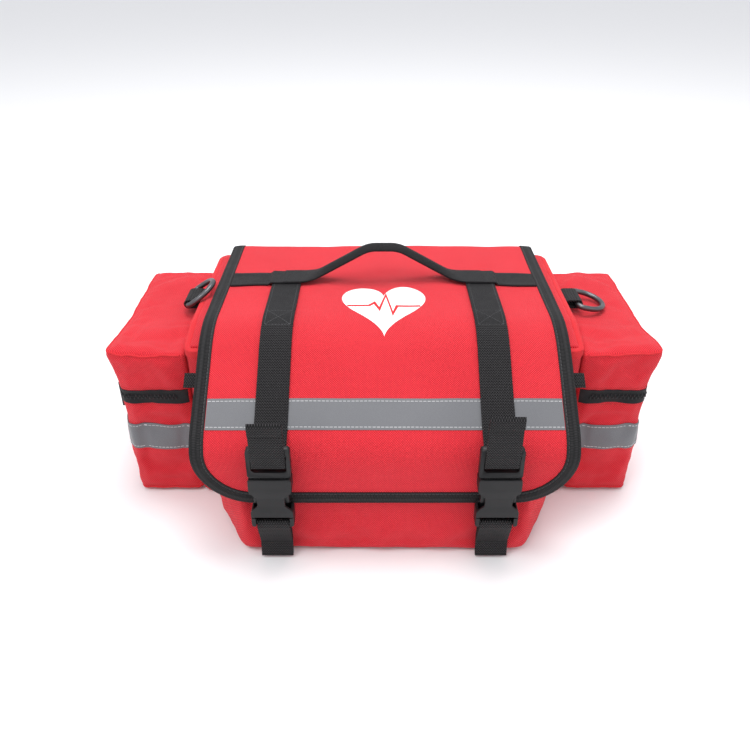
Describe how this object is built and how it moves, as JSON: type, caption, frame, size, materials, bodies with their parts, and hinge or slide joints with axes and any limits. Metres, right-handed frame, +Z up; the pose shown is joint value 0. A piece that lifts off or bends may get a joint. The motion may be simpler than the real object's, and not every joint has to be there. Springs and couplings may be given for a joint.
{
  "type": "trauma bag",
  "caption": "Soft red responder bag with a buckled flap, carry handle, zipped end pockets, a front bellows pocket, strap rings and reflective bands.",
  "frame": {"origin": "middle of the main compartment's floor, on the surface the bag stands on", "axes": "+X to the bag's right as its user faces the buckles, +Y from the buckles to the back, +Z up"},
  "size_m": [0.4466, 0.2766, 0.196],
  "materials": {
    "red_fabric": "plain-woven coated polyester, slight sheen",
    "black_webbing": "ribbed webbing",
    "black_binding": "folded binding tape",
    "reflective_tape": "silver-grey, faint sheen",
    "zip_tape": "black coil zip",
    "buckle_plastic": "fine moulded grain",
    "ring_metal": "dark gunmetal",
    "zip_metal": "black enamel",
    "board_plastic": "plain",
    "divider_foam": "padded",
    "white_print": "matt print"
  },
  "bodies": {
    "bag": {"bottom_panel": "red_fabric", "back_panel": "red_fabric", "front_panel": "red_fabric", "left_side_panel": "red_fabric", "right_side_panel": "red_fabric", "left_rim_lip": "red_fabric", "right_rim_lip": "red_fabric", "front_pocket": "red_fabric", "left_side_pocket": "red_fabric", "right_side_pocket": "red_fabric", "rim_binding": "red_fabric", "left_lower_strap": "black_webbing", "right_lower_strap": "black_webbing", "left_ring_tab": "black_webbing", "right_ring_tab": "black_webbing", "flap_seam_tape": "black_binding", "front_zip_tabs": "black_binding", "left_pocket_band": "reflective_tape", "right_pocket_band": "reflective_tape", "left_pocket_zip": "zip_tape", "right_pocket_zip": "zip_tape", "front_pocket_zip": "zip_tape", "left_buckle_socket": "buckle_plastic", "right_buckle_socket": "buckle_plastic", "base_board": "board_plastic"},
    "flap": {"flap_panel": "red_fabric", "flap_binding": "black_binding", "flap_band": "reflective_tape", "left_closure_strap": "black_webbing", "right_closure_strap": "black_webbing", "left_buckle_plug": "buckle_plastic", "right_buckle_plug": "buckle_plastic", "handle_anchors": "black_webbing", "emblem_print": "white_print"},
    "handle": {"carry_handle": "black_webbing"},
    "left_ring": {"left_d_ring": "ring_metal"},
    "right_ring": {"right_d_ring": "ring_metal"},
    "left_slider": {"left_zip_slider": "zip_metal"},
    "right_slider": {"right_zip_slider": "zip_metal"},
    "left_pull": {"left_zip_pull": "zip_metal"},
    "right_pull": {"right_zip_pull": "zip_metal"},
    "front_slider": {"front_zip_slider": "zip_metal"},
    "left_divider": {"divider_left": "divider_foam"},
    "right_divider": {"divider_right": "divider_foam"},
    "left_buckle_left_arm": {"left_buckle_left_arm": "buckle_plastic"},
    "left_buckle_right_arm": {"left_buckle_right_arm": "buckle_plastic"},
    "right_buckle_left_arm": {"right_buckle_left_arm": "buckle_plastic"},
    "right_buckle_right_arm": {"right_buckle_right_arm": "buckle_plastic"}
  },
  "joints": [
    {"name": "flap_open", "type": "hinge", "parent": "bag", "child": "flap", "pos_m": [0, 0.0943, 0.075], "axis": [-1, 0, 0], "range_deg": [0, 125]},
    {"name": "handle_tilt", "type": "hinge", "parent": "flap", "child": "handle", "pos_m": [0, 0.007, 0.164], "axis": [1, 0, 0], "range_deg": [-25, 25], "stiffness_Nm_per_rad": 0.05},
    {"name": "left_ring_swing", "type": "hinge", "parent": "bag", "child": "left_ring", "pos_m": [-0.17, -0.002, 0.146], "axis": [0, -1, 0], "range_deg": [0, 155]},
    {"name": "right_ring_swing", "type": "hinge", "parent": "bag", "child": "right_ring", "pos_m": [0.17, -0.002, 0.146], "axis": [0, -1, 0], "range_deg": [0, 155]},
    {"name": "left_buckle_left_press", "type": "hinge", "parent": "flap", "child": "left_buckle_left_arm", "pos_m": [-0.094, -0.1737, 0.085], "axis": [0, -1, 0], "range_deg": [0, 8], "stiffness_Nm_per_rad": 0.5},
    {"name": "left_buckle_right_press", "type": "hinge", "parent": "flap", "child": "left_buckle_right_arm", "pos_m": [-0.075, -0.1737, 0.085], "axis": [0, 1, 0], "range_deg": [0, 8], "stiffness_Nm_per_rad": 0.5},
    {"name": "right_buckle_left_press", "type": "hinge", "parent": "flap", "child": "right_buckle_left_arm", "pos_m": [0.075, -0.1737, 0.085], "axis": [0, -1, 0], "range_deg": [0, 8], "stiffness_Nm_per_rad": 0.5},
    {"name": "right_buckle_right_press", "type": "hinge", "parent": "flap", "child": "right_buckle_right_arm", "pos_m": [0.094, -0.1737, 0.085], "axis": [0, 1, 0], "range_deg": [0, 8], "stiffness_Nm_per_rad": 0.5},
    {"name": "left_zip_slide", "type": "slide", "parent": "bag", "child": "left_slider", "axis": [0, 1, 0], "range_m": [0, 0.12]},
    {"name": "right_zip_slide", "type": "slide", "parent": "bag", "child": "right_slider", "axis": [0, -1, 0], "range_m": [0, 0.12]},
    {"name": "left_pull_swing", "type": "hinge", "parent": "left_slider", "child": "left_pull", "pos_m": [-0.2224, -0.067, 0.10025], "axis": [0, 1, 0], "range_deg": [0, 150]},
    {"name": "right_pull_swing", "type": "hinge", "parent": "right_slider", "child": "right_pull", "pos_m": [0.2224, 0.053, 0.10025], "axis": [0, -1, 0], "range_deg": [0, 150]},
    {"name": "front_zip_slide", "type": "slide", "parent": "bag", "child": "front_slider", "axis": [1, 0, 0], "range_m": [0, 0.215]},
    {"name": "left_divider_slide", "type": "slide", "parent": "bag", "child": "left_divider", "axis": [1, 0, 0], "range_m": [-0.06, 0.035]},
    {"name": "right_divider_slide", "type": "slide", "parent": "bag", "child": "right_divider", "axis": [1, 0, 0], "range_m": [-0.035, 0.06]}
  ]
}
